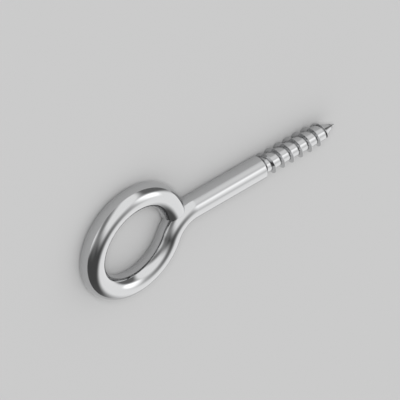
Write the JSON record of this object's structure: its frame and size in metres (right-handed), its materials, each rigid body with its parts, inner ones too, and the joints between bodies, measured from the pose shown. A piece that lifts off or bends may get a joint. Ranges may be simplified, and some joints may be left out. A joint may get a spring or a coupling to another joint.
{
  "type": "screw eye",
  "caption": "Closed eye bent from round steel wire, with a plain shank and a coarse pointed wood thread, for hanging or tying things to timber.",
  "frame": {"origin": "centre of the eye, at half the thickness of the wire", "axes": "+X along the shank towards the point, +Z square to the flat of the eye, +Y towards the side where the free end of the wire closes the eye"},
  "size_m": [0.08, 0.0312, 0.006],
  "materials": {
    "polished_steel": "bright polished plated steel, smooth all over"
  },
  "bodies": {
    "root": {"screw_eye": "polished_steel"}
  },
  "joints": []
}
